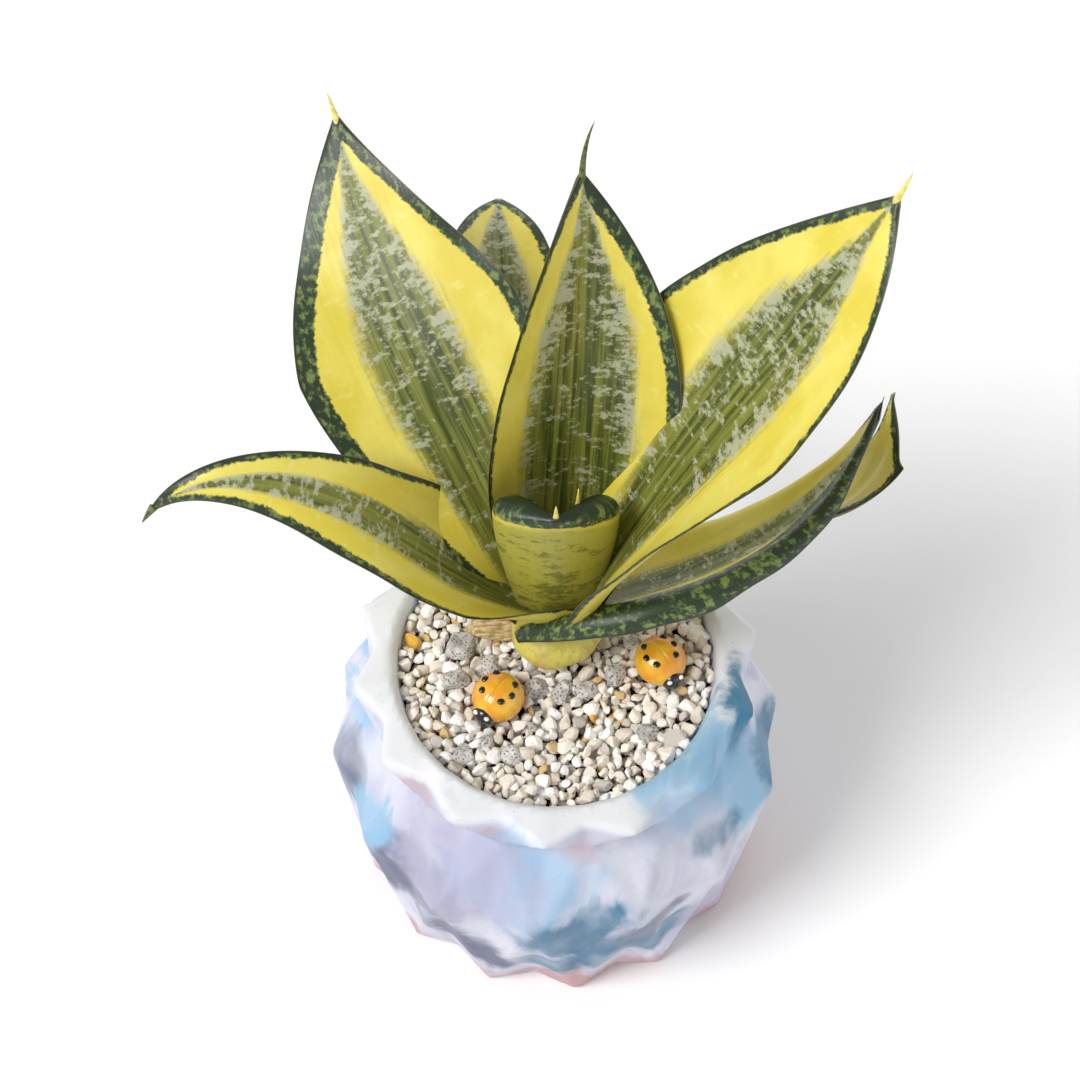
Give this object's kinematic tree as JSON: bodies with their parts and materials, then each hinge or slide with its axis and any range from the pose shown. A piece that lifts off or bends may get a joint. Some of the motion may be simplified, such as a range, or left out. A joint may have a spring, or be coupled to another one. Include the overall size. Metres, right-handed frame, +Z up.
{
  "type": "potted snake plant",
  "caption": "Compact rosette of broad pointed variegated leaves in a faceted, wavy-rimmed cement pot topped with pale gravel.",
  "frame": {"origin": "centre of the pot's flat underside, on the pot's axis", "axes": "+Z up along the pot's axis, -Y the front that the lowest leaves leave open, +X to the right seen from the front"},
  "size_m": [0.1697, 0.1714, 0.2226],
  "materials": {
    "cement": "satin",
    "soil": "matte",
    "gravel": "matte",
    "pumice": "rough",
    "crown": "satin",
    "leaf": "satin",
    "husk": "matte",
    "resin": "gloss"
  },
  "bodies": {
    "root": {"crown": "crown", "gravel_bed": "gravel", "husk": "husk", "leaf_back_left": "leaf", "leaf_back_right": "leaf", "leaf_centre_tall": "leaf", "leaf_front_young": "leaf", "leaf_low_left": "leaf", "leaf_low_right": "leaf", "leaf_rear_bent": "leaf", "leaf_spear": "leaf", "ornament_left": "resin", "ornament_right": "resin", "pot": "cement", "pumice_01": "pumice", "pumice_02": "pumice", "pumice_03": "pumice", "pumice_04": "pumice", "pumice_05": "pumice", "pumice_06": "pumice", "pumice_07": "pumice", "pumice_08": "pumice", "pumice_09": "pumice", "pumice_10": "pumice", "pumice_11": "pumice", "pumice_12": "pumice", "soil": "soil"}
  },
  "joints": []
}
